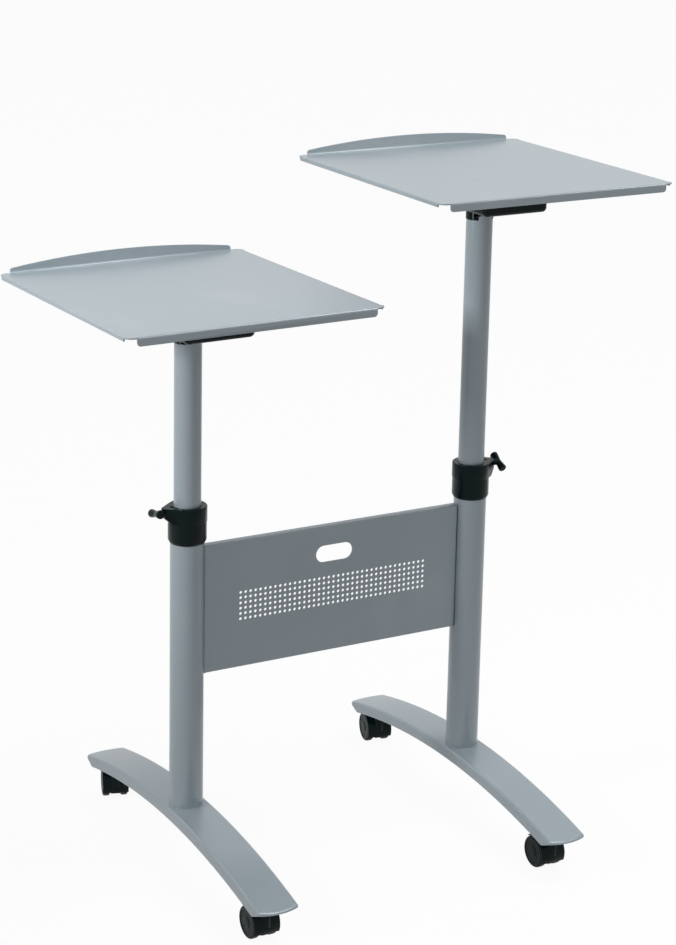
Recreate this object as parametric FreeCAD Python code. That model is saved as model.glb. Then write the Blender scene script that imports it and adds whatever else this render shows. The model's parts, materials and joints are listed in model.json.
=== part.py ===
import FreeCAD, Part
import math
import os

Vec = FreeCAD.Vector

# Columns, in millimetres: two telescoping round tubes side by side, a front (-Y) and a back (+Y)
column_spacing = 484.0
lower_tube_d = 50.0
upper_tube_d = 40.0
tube_wall = 2.0
tube_overlap = 63.0
left_platform_height = 887.0
right_platform_height = 1025.0
left_platform_turn = 1.7

# Feet: arched pressed channels, open beneath
foot_length = 604.0
foot_bow = 8.0
foot_width = 64.5
foot_depth = 17.0
foot_wall = 2.5
foot_corner_r = 4.6
foot_edge_r = 4.0
foot_lip = 4.5
foot_undercut = 19.0
arch_radius = 1236.0

# Modesty panel: a sheet tray with a hand slot and a field of round holes
panel_bottom = 306.0
panel_height = 198.0
panel_depth = 12.0
panel_sheet = 1.5
panel_bend_r = 2.0
slot_length = 62.0
slot_width = 26.0
slot_above_bottom = 155.0
field_above_bottom = 96.0
field_columns = 39
field_rows = 6
field_pitch = 8.25
field_hole_d = 4.5
field_hole_sides = 8

# Clamp collars and their wing screws
collar_bottom = 514.0
collar_height = 55.0
collar_wall = 3.0
collar_rim = 18.0
collar_taper_height = 4.5
collar_taper = 2.0
collar_edge_r = 1.6
collar_step = 0.7
ear_height = 23.0
ear_tip_height = 14.0
ear_length = 10.5
ear_width = 16.0
ear_flat = 2.0
nut_slot_length = 9.0
nut_slot_width = 3.6
nut_slot_depth = 12.0
nut_slot_inset = 13.5
screw_d = 6.0
knob_hub_d = 10.0
knob_hub_gap = 0.8
knob_hub_length = 10.0
wing_span = 33.0
wing_end_d = 12.5
wing_waist_d = 9.0
wing_chamfer = 1.2
left_wing_angle = -12.0
right_wing_angle = 29.0

# Glide plugs at the upper tubes' lower ends
glide_height = 30.0
glide_spigot = 25.0
glide_bore_d = 26.0

# Tilt heads: a fork in the tube, a lug on the bracket and a bolt through both
tilt_axis_drop = 65.5
cheek_r = 8.5
lug_width = 10.0
lug_r = 7.5
lug_top_length = 44.0
lug_floor_gap = 2.0
bolt_d = 8.0
bolt_head_d = 12.0
bolt_head_length = 1.8
bolt_spacer_d = 13.0
bracket_width = 110.0
bracket_length = 202.0
bracket_depth = 50.0
bracket_wall = 2.5
bracket_floor_r = 7.0
bracket_corner_r = 9.0

# Platforms: folded sheet with a front flange, side hems and an arched back lip
platform_width = 398.0
platform_length = 420.0
platform_sheet = 2.0
platform_corner_r = 11.0
fold_inset = 15.0
flange_height = 12.5
flange_bend_r = 3.0
flange_corner_r = 5.0
hem_height = 6.0
hem_bend_r = 2.6
lip_height = 18.5
lip_end_height = 6.5
lip_end_gap = 3.0
lip_lean = 3.0
lip_bend_r = 4.0
lip_corner_r = 4.0

# Casters: twin wheels under a hood, trailing behind a swivel stem
wheel_d = 48.0
wheel_width = 11.5
wheel_tread_r = 2.6
wheel_dish_d = 37.0
wheel_dish_depth = 1.0
wheel_cap_d = 18.0
hood_gap = 1.0
hood_wall = 1.5
hood_web = 15.0
hood_side_gap = 0.8
hood_hub_d = 15.0
hood_back_angle = 62.0
hood_front_angle = 205.0
web_front_angle = 209.0
hood_boss_d = 17.0
hood_boss_height = 8.7
axle_d = 6.0
axle_seat = 9.0
stem_d = 11.0
stem_length = 12.0
stem_inset = 46.0
caster_trail = 20.0
left_back_caster_turn = -19.0
right_back_caster_turn = -10.0
socket_d = 19.0

# Clearances, and how close two points are taken as one
running_fit = 0.05
glide_fit = 0.08
slip_fit = 0.3
weld_gap = 0.2
same_place = 1e-6

# Sizes that follow from those above
half_spacing = column_spacing / 2
lower_r = lower_tube_d / 2
upper_r = upper_tube_d / 2
lower_bore_r = lower_r - tube_wall
upper_bore_r = upper_r - tube_wall
wheel_r = wheel_d / 2
hood_inner_r = wheel_r + hood_gap
hood_r = hood_inner_r + hood_wall
socket_face = wheel_r + hood_r + hood_boss_height
stem_y = foot_length / 2 - stem_inset
arch_drop_at_stem = arch_radius - math.sqrt(arch_radius ** 2 - stem_y ** 2)
foot_top = socket_face + foot_depth + arch_drop_at_stem
arch_centre_z = foot_top - arch_radius
collar_top = collar_bottom + collar_height
collar_shelf = collar_top - collar_rim
highest_platform = max(left_platform_height, right_platform_height)
upper_tube_length = highest_platform - tilt_axis_drop + cheek_r - collar_shelf + tube_overlap
collar_r = lower_r + slip_fit + collar_wall
band_r = collar_r + collar_step
ear_reach = collar_r + ear_length
screw_z = collar_top - ear_tip_height / 2
fold_half = platform_width / 2 - fold_inset


def line(p, q):
    """Straight edge from p to q."""
    return Part.LineSegment(p, q).toShape()


def arc(p, q, r):
    """Circular edge from p through q to r."""
    return Part.Arc(p, q, r).toShape()


def face(edges):
    """Flat face inside a closed run of edges."""
    return Part.Face(Part.Wire(edges))


def polygon(points):
    """Flat face with the given corners."""
    return Part.Face(Part.makePolygon(points + points[:1]))


def block(x_range, y_range, z_range):
    """Box between two limits on each axis."""
    low = Vec(x_range[0], y_range[0], z_range[0])
    return Part.makeBox(x_range[1] - x_range[0], y_range[1] - y_range[0], z_range[1] - z_range[0], low)


def rod(radius, start, direction, length):
    """Round bar from a start point along a direction."""
    return Part.makeCylinder(radius, length, start, direction)


def pipe(outer_r, inner_r, x, z_low, z_high):
    """Upright tube on a column's axis."""
    height = z_high - z_low
    base = Vec(x, 0, z_low)
    return rod(outer_r, base, Vec(0, 0, 1), height).cut(rod(inner_r, base, Vec(0, 0, 1), height))


def turned(points, centre, axis, side):
    """Solid of revolution: points are (distance along the axis, radius towards the side) pairs."""
    corners = [centre + axis * along + side * radius for along, radius in points]
    return polygon(corners).revolve(centre, axis, 360)


def rounded_plan(width, length, corner_r, centre, height):
    """Upright prism on a rounded rectangle, standing on its centre point."""
    prism = block((-width / 2, width / 2), (-length / 2, length / 2), (0, height))
    upright = [e for e in prism.Edges if abs(e.Vertexes[0].Z - e.Vertexes[-1].Z) > height / 2]
    prism = prism.makeFillet(corner_r, upright)
    prism.translate(centre)
    return prism


def edges_through(shape, axis, points):
    """Edges of a shape that run along an axis through any of the points."""
    found = []
    for edge in shape.Edges:
        ends = [v.Point for v in edge.Vertexes]
        along = len(ends) == 2 and (ends[1] - ends[0]).cross(axis).Length < same_place
        if along and any((ends[0] - p).cross(axis).Length < same_place for p in points):
            found.append(edge)
    return found


def arch_height(radius, y):
    """Height of a foot's arc of the given radius at a place along the foot."""
    return arch_centre_z + math.sqrt(radius ** 2 - y ** 2)


def foot_plan(x, inset, floor_z):
    """Upright prism on a foot's plan: straight sides, bowed ends and small round corners."""
    half_width = foot_width / 2
    bow_r = (half_width ** 2 + foot_bow ** 2) / (2 * foot_bow) - inset
    tip_y = foot_length / 2 - inset
    side_x = half_width - inset
    corner_y = tip_y - bow_r + math.sqrt(bow_r ** 2 - side_x ** 2)
    corners = [Vec(x + i * side_x, j * corner_y, floor_z) for i, j in ((-1, -1), (-1, 1), (1, 1), (1, -1))]
    front = arc(corners[3], Vec(x, -tip_y, floor_z), corners[0])
    back = arc(corners[1], Vec(x, tip_y, floor_z), corners[2])
    plan = face([front, line(corners[0], corners[1]), back, line(corners[2], corners[3])])
    prism = plan.extrude(Vec(0, 0, foot_top))
    return prism.makeFillet(foot_corner_r - inset, edges_through(prism, Vec(0, 0, 1), corners))


def arched_block(x, inset):
    """Foot's outer form, or its hollow when inset by the wall: arched top, round ends, soft edge."""
    radius = arch_radius - inset
    half = foot_length / 2 - inset
    width = foot_width - 2 * inset
    floor_z = socket_face - foot_depth
    left = x - width / 2
    end_z = arch_height(radius, half)
    low_a = Vec(left, -half, floor_z)
    low_b = Vec(left, half, floor_z)
    top_a = Vec(left, -half, end_z)
    top_b = Vec(left, half, end_z)
    crown = Vec(left, 0, arch_height(radius, 0))
    side = face([line(low_b, low_a), line(low_a, top_a), arc(top_a, crown, top_b), line(top_b, low_b)])
    body = side.extrude(Vec(width, 0, 0)).common(foot_plan(x, inset, floor_z))
    top = max(body.Faces, key=lambda f: f.CenterOfMass.z)
    return body.makeFillet(foot_edge_r - inset, top.Edges)


def foot(side):
    """Arched channel foot with slanting cut-backs under both ends."""
    x = side * half_spacing
    left = x - foot_width
    half = foot_length / 2 - foot_bow
    low_r = arch_radius - foot_depth
    lip_z = arch_height(arch_radius, half) - foot_lip
    run_y = half - foot_undercut
    outer_y = foot_length / 2 + foot_wall
    floor_z = socket_face - 2 * foot_depth
    right_half = [Vec(left, run_y, arch_height(low_r, run_y)), Vec(left, half, lip_z)]
    right_half += [Vec(left, outer_y, lip_z), Vec(left, outer_y, floor_z)]
    left_half = [Vec(p.x, -p.y, p.z) for p in right_half]
    outline = [arc(left_half[0], Vec(left, 0, arch_height(low_r, 0)), right_half[0])]
    ring = right_half + left_half[::-1]
    outline += [line(p, q) for p, q in zip(ring, ring[1:])]
    beneath = face(outline).extrude(Vec(2 * foot_width, 0, 0))
    return arched_block(x, 0).cut(arched_block(x, foot_wall)).cut(beneath)


def arch_cylinder(x, radius):
    """Solid under a foot's arc, as wide as the foot."""
    return rod(radius, Vec(x - foot_width / 2, 0, arch_centre_z), Vec(1, 0, 0), foot_width)


def lower_tube(side):
    """Outer column tube, saddle-cut to stand on the foot's arch."""
    x = side * half_spacing
    tube = pipe(lower_r, lower_bore_r, x, foot_top - foot_wall, collar_shelf)
    return tube.cut(arch_cylinder(x, arch_radius))


def ear_direction(side):
    """Way a collar's ear and its screw point: straight out from the cart."""
    return Vec(side, 0, 0)


def collar_band(axis, out):
    """Top band of a collar: a slightly wider ring drawn out to a flat-ended ear that slopes up beneath."""
    low = axis + Vec(0, 0, collar_height - ear_height)
    tip_r = ear_width / 2
    tip = out * (ear_reach - tip_r + ear_flat)
    across = Vec(-out.y, out.x, 0)
    slope = math.acos((band_r - tip_r) / tip.Length)
    touch = [out * math.cos(slope) + across * (i * math.sin(slope)) for i in (1, -1)]
    big = [low + way * band_r for way in touch]
    small = [low + tip + way * tip_r for way in touch]
    outline = [arc(big[0], low - out * band_r, big[1]), line(big[1], small[1])]
    outline += [arc(small[1], low + tip + out * tip_r, small[0]), line(small[0], big[0])]
    band = face(outline).extrude(Vec(0, 0, ear_height))
    crown = max(band.Faces, key=lambda f: f.CenterOfMass.z)
    band = band.makeFillet(collar_edge_r, crown.Edges)
    root = low + out * band_r
    end = low + out * ear_reach
    beyond = rod(2 * ear_height, end, out, ear_width)
    gusset = polygon([root, end, end + Vec(0, 0, ear_height - ear_tip_height)])
    gusset.translate(across * -ear_width)
    return band.cut(beyond).cut(gusset.extrude(across * (2 * ear_width)))


def clamp_collar(side):
    """Moulded collar: tapered sleeve, eared top band, stepped bore, nut slot and screw bore."""
    axis = Vec(side * half_spacing, 0, collar_bottom)
    out = ear_direction(side)
    shoulder = collar_height - ear_height
    sleeve = [(0, 0), (0, collar_r - collar_taper), (collar_taper_height, collar_r)]
    sleeve += [(shoulder, collar_r), (shoulder, 0)]
    body = turned(sleeve, axis, Vec(0, 0, 1), Vec(1, 0, 0))
    body = body.fuse(collar_band(axis, out)).removeSplitter()
    body = body.cut(rod(lower_r + slip_fit, axis, Vec(0, 0, 1), collar_height - collar_rim))
    body = body.cut(rod(upper_r + slip_fit, axis, Vec(0, 0, 1), collar_height))
    body = body.cut(rod(screw_d / 2 + running_fit, Vec(axis.x, 0, screw_z), out, 2 * ear_reach))
    slot_x = (-nut_slot_width / 2, nut_slot_width / 2)
    slot = block(slot_x, (-nut_slot_length / 2, nut_slot_length / 2), (0, ear_height))
    slot.translate(Vec(axis.x, 0, collar_top - nut_slot_depth) + out * (ear_reach - nut_slot_inset))
    return body.cut(slot)


def clamp_knob(side):
    """Wing screw: threaded shank, round hub and a waisted bar across it."""
    out = ear_direction(side)
    origin = Vec(side * half_spacing, 0, screw_z)
    tip = upper_r + slip_fit
    hub = ear_reach + knob_hub_gap
    bar = hub + knob_hub_length
    shank = rod(screw_d / 2, origin + out * tip, out, bar - tip)
    hub_rod = rod(knob_hub_d / 2, origin + out * hub, out, knob_hub_length)
    angle = math.radians(left_wing_angle if side < 0 else right_wing_angle)
    along = Vec(0, math.cos(angle), math.sin(angle))
    half = wing_span / 2
    end_r = wing_end_d / 2
    waist_r = wing_waist_d / 2
    points = [(-half, 0), (-half, end_r - wing_chamfer), (-half + wing_chamfer, end_r), (0, waist_r)]
    points += [(-distance, radius) for distance, radius in points[2::-1]]
    wing = turned(points, origin + out * bar, along, out)
    return shank.fuse([hub_rod, wing]).removeSplitter()


def modesty_panel():
    """Folded tray between the columns, its flanges turned back, with a hand slot and a field of holes."""
    half = half_spacing - lower_r - weld_gap
    front = -panel_depth / 2
    back = panel_depth / 2
    top = panel_bottom + panel_height
    outer = block((-half, half), (front, back), (panel_bottom, top))
    face_edges = [e for e in outer.Edges if all(abs(v.Y - front) < same_place for v in e.Vertexes)]
    outer = outer.makeFillet(panel_bend_r, face_edges)
    inner_x = (panel_sheet - half, half - panel_sheet)
    inner_z = (panel_bottom + panel_sheet, top - panel_sheet)
    tray = outer.cut(block(inner_x, (front + panel_sheet, back), inner_z)).cut(slot_prism(front))
    holes = []
    for column in range(field_columns):
        for row in range(field_rows):
            x = (column - (field_columns - 1) / 2) * field_pitch
            z = panel_bottom + field_above_bottom + (row - (field_rows - 1) / 2) * field_pitch
            holes.append(hole_prism(x, front, z))
    return tray.cut(Part.makeCompound(holes))


def slot_prism(front):
    """Cutter for the hand slot: straight sides and half-round ends."""
    slot_r = slot_width / 2
    half = slot_length / 2 - slot_r
    middle = Vec(0, front, panel_bottom + slot_above_bottom)
    up = Vec(0, 0, slot_r)
    right = middle + Vec(half, 0, 0)
    left = middle - Vec(half, 0, 0)
    outline = [line(left + up, right + up), arc(right + up, right + Vec(slot_r, 0, 0), right - up)]
    outline += [line(right - up, left - up), arc(left - up, left - Vec(slot_r, 0, 0), left + up)]
    return face(outline).extrude(Vec(0, 2 * panel_sheet, 0))


def hole_prism(x, front, z):
    """Cutter for one of the panel's small holes."""
    half_step = math.pi / field_hole_sides
    corners = []
    for index in range(field_hole_sides):
        angle = half_step * (2 * index + 1)
        corners.append(Vec(x, front, z) + Vec(math.cos(angle), 0, math.sin(angle)) * (field_hole_d / 2))
    return polygon(corners).extrude(Vec(0, 2 * panel_sheet, 0))


def platform_height(side):
    """Height of a platform's top face above the floor."""
    return left_platform_height if side < 0 else right_platform_height


def tilt_centre(side):
    """Point on a tilt bolt's axis at the middle of its column."""
    return Vec(side * half_spacing, 0, platform_height(side) - tilt_axis_drop)


def fork_floor(side):
    """Height of the notch between a fork's cheeks."""
    return tilt_centre(side).z - lug_r - lug_floor_gap


def upper_tube_foot(side):
    """Height of an upper tube's lower end."""
    return tilt_centre(side).z + cheek_r - upper_tube_length


def mast_turned(shape, side):
    """Turn a mast's or platform's piece about its column to where it stands."""
    shape.rotate(Vec(side * half_spacing, 0, 0), Vec(0, 0, 1), left_platform_turn if side < 0 else 0)
    return shape


def upper_tube(side):
    """Inner column tube with two round-topped cheeks for the tilt bolt."""
    axis = tilt_centre(side)
    floor_z = fork_floor(side)
    tube = pipe(upper_r, upper_bore_r, axis.x, upper_tube_foot(side), floor_z)
    ring = pipe(upper_r, upper_bore_r, axis.x, floor_z, axis.z + cheek_r)
    left = axis.x - upper_tube_d
    low_a = Vec(left, -cheek_r, floor_z)
    low_b = Vec(left, cheek_r, floor_z)
    top_a = Vec(left, -cheek_r, axis.z)
    top_b = Vec(left, cheek_r, axis.z)
    crown = Vec(left, 0, axis.z + cheek_r)
    shape = face([line(low_b, low_a), line(low_a, top_a), arc(top_a, crown, top_b), line(top_b, low_b)])
    cheeks = ring.common(shape.extrude(Vec(2 * upper_tube_d, 0, 0)))
    bore = rod(bolt_d / 2 + running_fit, Vec(left, 0, axis.z), Vec(1, 0, 0), 2 * upper_tube_d)
    return tube.fuse(cheeks).removeSplitter().cut(bore)


def tube_glide(side):
    """Plug that guides an upper tube inside its lower tube."""
    base = Vec(side * half_spacing, 0, upper_tube_foot(side) - glide_height)
    ring_r = lower_bore_r - glide_fit
    spigot_r = upper_bore_r - glide_fit
    top = glide_height + glide_spigot
    bore_r = glide_bore_d / 2
    points = [(0, bore_r), (top, bore_r), (top, spigot_r), (glide_height, spigot_r)]
    points += [(glide_height, ring_r), (0, ring_r)]
    return turned(points, base, Vec(0, 0, 1), Vec(1, 0, 0))


def tilt_bolt(side):
    """Pivot bolt with head, nut and the spacer sleeves that centre the lug."""
    axis = tilt_centre(side)
    shank_r = bolt_d / 2
    sleeve_r = bolt_spacer_d / 2
    head_r = bolt_head_d / 2
    lug_side = lug_width / 2 + slip_fit
    sleeve_end = math.sqrt(upper_bore_r ** 2 - sleeve_r ** 2) - slip_fit
    head = upper_r + slip_fit
    end = head + bolt_head_length
    half = [(lug_side, shank_r), (lug_side, sleeve_r), (sleeve_end, sleeve_r), (sleeve_end, shank_r)]
    half += [(head, shank_r), (head, head_r), (end, head_r), (end, 0)]
    mirror = [(-along, radius) for along, radius in half[::-1]]
    return turned(mirror + half, axis, Vec(1, 0, 0), Vec(0, 0, 1))


def tilt_lug(side):
    """Lug under the bracket that swings on the tilt bolt between the fork's cheeks."""
    axis = tilt_centre(side)
    left = axis.x - lug_width / 2
    top_z = platform_height(side) - platform_sheet - bracket_depth
    half_top = lug_top_length / 2
    reach = Vec(0, half_top, top_z - axis.z)
    lean = math.atan2(reach.z, reach.y) - math.acos(lug_r / reach.Length)
    touch_y = lug_r * math.cos(lean)
    touch_z = lug_r * math.sin(lean)
    top_a = Vec(left, -half_top, top_z)
    top_b = Vec(left, half_top, top_z)
    touch_a = Vec(left, -touch_y, axis.z + touch_z)
    touch_b = Vec(left, touch_y, axis.z + touch_z)
    bottom = Vec(left, 0, axis.z - lug_r)
    outline = [line(top_a, top_b), line(top_b, touch_b), arc(touch_b, bottom, touch_a), line(touch_a, top_a)]
    bore = rod(bolt_d / 2 + running_fit, Vec(left, 0, axis.z), Vec(1, 0, 0), lug_width)
    return face(outline).extrude(Vec(lug_width, 0, 0)).cut(bore)


def tilt_bracket(side):
    """Pan under a platform, open at the top where the sheet closes it."""
    x = side * half_spacing
    top = platform_height(side) - platform_sheet
    base = Vec(x, 0, top - bracket_depth)
    pan = rounded_plan(bracket_width, bracket_length, bracket_corner_r, base, bracket_depth)
    pan = pan.makeFillet(bracket_floor_r, min(pan.Faces, key=lambda f: f.CenterOfMass.z).Edges)
    inner_base = base + Vec(0, 0, bracket_wall)
    inner_width = bracket_width - 2 * bracket_wall
    inner_length = bracket_length - 2 * bracket_wall
    inner_r = bracket_corner_r - bracket_wall
    hollow = rounded_plan(inner_width, inner_length, inner_r, inner_base, bracket_depth)
    hollow_floor = min(hollow.Faces, key=lambda f: f.CenterOfMass.z)
    return pan.cut(hollow.makeFillet(bracket_floor_r - bracket_wall, hollow_floor.Edges))


def folded_sheet():
    """Lip, plate and front flange as one folded section, trimmed to the lip's arch."""
    front = -platform_length / 2
    back = platform_length / 2
    t = platform_sheet
    start = -fold_half
    lip_foot = Vec(start, back - t, 0)
    lip_heel = Vec(start, back, -t)
    nose = Vec(start, front, 0)
    nose_inside = Vec(start, front + t, -t)
    lip_inside = Vec(start, back - t + lip_lean, lip_height)
    lip_outside = Vec(start, back + lip_lean, lip_height)
    flange_inside = Vec(start, front + t, -flange_height)
    flange_outside = Vec(start, front, -flange_height)
    corners = [lip_foot, lip_inside, lip_outside, lip_heel, nose_inside, flange_inside, flange_outside, nose]
    along = Vec(1, 0, 0)
    sheet = polygon(corners).extrude(along * (2 * fold_half))
    sheet = sheet.makeFillet(lip_bend_r, edges_through(sheet, along, [lip_foot]))
    sheet = sheet.makeFillet(lip_bend_r + t, edges_through(sheet, along, [lip_heel]))
    sheet = sheet.makeFillet(flange_bend_r, edges_through(sheet, along, [nose]))
    sheet = sheet.makeFillet(flange_bend_r - t, edges_through(sheet, along, [nose_inside]))
    return sheet.common(fold_outline())


def fold_outline():
    """Front outline of the folded sheet: arched lip above, rounded flange corners below."""
    half_lip = fold_half - lip_end_gap
    y = -platform_length
    low = [Vec(i * fold_half, y, -flange_height) for i in (-1, 1)]
    edge = [Vec(i * fold_half, y, 0) for i in (-1, 1)]
    foot_of_lip = [Vec(i * half_lip, y, 0) for i in (-1, 1)]
    end_of_lip = [Vec(i * half_lip, y, lip_end_height) for i in (-1, 1)]
    left = [low[0], edge[0], foot_of_lip[0], end_of_lip[0]]
    right = [end_of_lip[1], foot_of_lip[1], edge[1], low[1]]
    outline = [line(p, q) for p, q in zip(left, left[1:])]
    outline += [arc(end_of_lip[0], Vec(0, y, lip_height), end_of_lip[1])]
    outline += [line(p, q) for p, q in zip(right, right[1:])]
    outline += [line(low[1], low[0])]
    prism = face(outline).extrude(Vec(0, 2 * platform_length, 0))
    prism = prism.makeFillet(flange_corner_r, edges_through(prism, Vec(0, 1, 0), low))
    return prism.makeFillet(lip_corner_r, edges_through(prism, Vec(0, 1, 0), end_of_lip))


def side_hem(side):
    """Side edge of the sheet, rolled down over the straight run between the corners."""
    half_x = platform_width / 2
    half_y = platform_length / 2 - platform_corner_r
    t = platform_sheet
    inner = half_x - hem_bend_r
    corners = [Vec(side * inner, -half_y, -t), Vec(side * inner, -half_y, 0), Vec(side * half_x, -half_y, 0)]
    corners += [Vec(side * half_x, -half_y, -hem_height), Vec(side * (half_x - t), -half_y, -hem_height)]
    corners += [Vec(side * (half_x - t), -half_y, -t)]
    hem = polygon(corners).extrude(Vec(0, 2 * half_y, 0))
    return hem.makeFillet(hem_bend_r - running_fit, edges_through(hem, Vec(0, 1, 0), [corners[2]]))


def platform(side):
    """Whole platform: flat sheet with round corners joined to its folded edges."""
    half_x = platform_width / 2
    half_y = platform_length / 2
    hem_y = half_y - platform_corner_r
    t = platform_sheet
    sheet = rounded_plan(platform_width, platform_length, platform_corner_r, Vec(0, 0, -t), t)
    fold_x = (-fold_half, fold_half)
    sheet = sheet.cut(block(fold_x, (-half_y, -half_y + flange_bend_r), (-t, 0)))
    sheet = sheet.cut(block(fold_x, (half_y - t - lip_bend_r, half_y), (-t, 0)))
    for hand in (-1, 1):
        edge = sorted((hand * half_x, hand * (half_x - hem_bend_r)))
        sheet = sheet.cut(block(edge, (-hem_y, hem_y), (-t, 0)))
    sheet = sheet.fuse([folded_sheet(), side_hem(-1), side_hem(1)]).removeSplitter()
    sheet.translate(Vec(side * half_spacing, 0, platform_height(side)))
    return sheet


def caster_stem(side, end):
    """Foot of a caster's swivel axis on the floor."""
    return Vec(side * half_spacing, end * stem_y, 0)


def caster_axle_centre(side, end):
    """Middle of a caster's axle before it is turned about its stem."""
    return caster_stem(side, end) + Vec(0, caster_trail, wheel_r)


def swivelled(shape, side, end):
    """Turn a caster's piece about its stem to where that caster stands."""
    back_turn = left_back_caster_turn if side < 0 else right_back_caster_turn
    shape.rotate(caster_stem(side, end), Vec(0, 0, 1), back_turn if end > 0 else 0)
    return shape


def caster_socket(side, end):
    """Bush inside the foot that takes a caster's stem."""
    base = caster_stem(side, end) + Vec(0, 0, socket_face)
    bush = rod(socket_d / 2, base, Vec(0, 0, 1), 2 * foot_depth)
    bush = bush.common(arch_cylinder(base.x, arch_radius - foot_wall))
    return bush.cut(rod(stem_d / 2 + running_fit, base, Vec(0, 0, 1), stem_length + slip_fit))


def ring_points(centre, radius, angles):
    """Points round an axle at the given angles."""
    return [centre + Vec(0, math.cos(a), math.sin(a)) * radius for a in angles]


def hood_sector(centre, inner_r, front_angle, half_width):
    """Part of a ring round the axle, from the hood's back edge to a front angle."""
    back = math.radians(hood_back_angle)
    front = math.radians(front_angle)
    angles = [back, (back + front) / 2, front]
    start = centre - Vec(half_width, 0, 0)
    inner = ring_points(start, inner_r, angles)
    outer = ring_points(start, hood_r, angles)
    outline = [arc(*outer), line(outer[2], inner[2]), arc(*inner[::-1]), line(inner[0], outer[0])]
    return face(outline).extrude(Vec(2 * half_width, 0, 0))


def caster_hood(side, end):
    """Hood over a wheel pair: curved guard, middle web with its hub, boss and swivel stem."""
    centre = caster_axle_centre(side, end)
    stem = caster_stem(side, end)
    half_web = hood_web / 2
    half = half_web + wheel_width + 2 * hood_side_gap
    bore_r = axle_d / 2 + running_fit
    guard = hood_sector(centre, hood_inner_r, hood_front_angle, half)
    web = hood_sector(centre, bore_r, web_front_angle, half_web)
    hub = rod(hood_hub_d / 2, centre - Vec(half_web, 0, 0), Vec(1, 0, 0), hood_web)
    boss = rod(hood_boss_d / 2, stem + Vec(0, 0, wheel_r), Vec(0, 0, 1), socket_face - slip_fit - wheel_r)
    boss = boss.cut(rod(hood_inner_r, centre - Vec(half, 0, 0), Vec(1, 0, 0), 2 * half))
    pin_z = socket_face - hood_boss_height
    pin = rod(stem_d / 2, stem + Vec(0, 0, pin_z), Vec(0, 0, 1), hood_boss_height + stem_length)
    hood = guard.fuse([web, hub, boss, pin]).removeSplitter()
    hood = hood.cut(rod(bore_r, centre - Vec(half_web, 0, 0), Vec(1, 0, 0), hood_web))
    return swivelled(hood, side, end)


def caster_axle(side, end):
    """Plain axle pin through a hood's hub and both wheels."""
    half = hood_web / 2 + hood_side_gap + axle_seat
    axle = rod(axle_d / 2, caster_axle_centre(side, end) - Vec(half, 0, 0), Vec(1, 0, 0), 2 * half)
    return swivelled(axle, side, end)


def caster_wheel(side, end, hand):
    """Wheel with a bevelled tread, a dished outer face and a cap over the blind bore."""
    bore_r = axle_d / 2 + running_fit
    bore_end = axle_seat + slip_fit
    cap_r = wheel_cap_d / 2
    dish_r = wheel_dish_d / 2
    dish_x = wheel_width - wheel_dish_depth
    shoulder_r = wheel_r - wheel_tread_r
    points = [(0, bore_r), (bore_end, bore_r), (bore_end, 0), (wheel_width, 0), (wheel_width, cap_r)]
    points += [(dish_x, cap_r + wheel_dish_depth), (dish_x, dish_r - wheel_dish_depth), (wheel_width, dish_r)]
    points += [(wheel_width, shoulder_r), (wheel_width - wheel_tread_r, wheel_r), (wheel_tread_r, wheel_r)]
    points += [(0, shoulder_r)]
    start = caster_axle_centre(side, end) + Vec(hand * (hood_web / 2 + hood_side_gap), 0, 0)
    return swivelled(turned(points, start, Vec(hand, 0, 0), Vec(0, 0, 1)), side, end)


def all_parts():
    """Every sub-part by its node name."""
    parts = {"modesty_panel": modesty_panel()}
    for hand, side in (("left", -1), ("right", 1)):
        parts[hand + "_foot"] = foot(side)
        parts[hand + "_lower_tube"] = lower_tube(side)
        parts[hand + "_clamp_collar"] = clamp_collar(side)
        parts[hand + "_clamp_knob"] = clamp_knob(side)
        parts[hand + "_tube_glide"] = tube_glide(side)
        parts[hand + "_upper_tube"] = mast_turned(upper_tube(side), side)
        parts[hand + "_tilt_bolt"] = mast_turned(tilt_bolt(side), side)
        parts[hand + "_tilt_lug"] = mast_turned(tilt_lug(side), side)
        parts[hand + "_tilt_bracket"] = mast_turned(tilt_bracket(side), side)
        parts[hand + "_platform"] = mast_turned(platform(side), side)
        for place, end in (("front", -1), ("back", 1)):
            name = hand + "_" + place + "_caster_"
            parts[name + "socket"] = caster_socket(side, end)
            parts[name + "hood"] = caster_hood(side, end)
            parts[name + "axle"] = caster_axle(side, end)
            parts[name + "left_wheel"] = caster_wheel(side, end, -1)
            parts[name + "right_wheel"] = caster_wheel(side, end, 1)
    return parts


os.makedirs("parts", exist_ok=True)
for node, shape in all_parts().items():
    solid = shape.Solids[0] if len(shape.Solids) == 1 else shape
    solid.exportStep("parts/" + node + ".step")
    print(node, "solids", len(shape.Solids), "valid", solid.isValid(), "volume", round(solid.Volume))
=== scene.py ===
import json
import logging
import math
from dataclasses import dataclass
from enum import Enum
from typing import Any, Iterable, Mapping, Optional, Protocol, Sequence, Union

import bmesh
import bpy
from mathutils import Matrix, Vector


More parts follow.
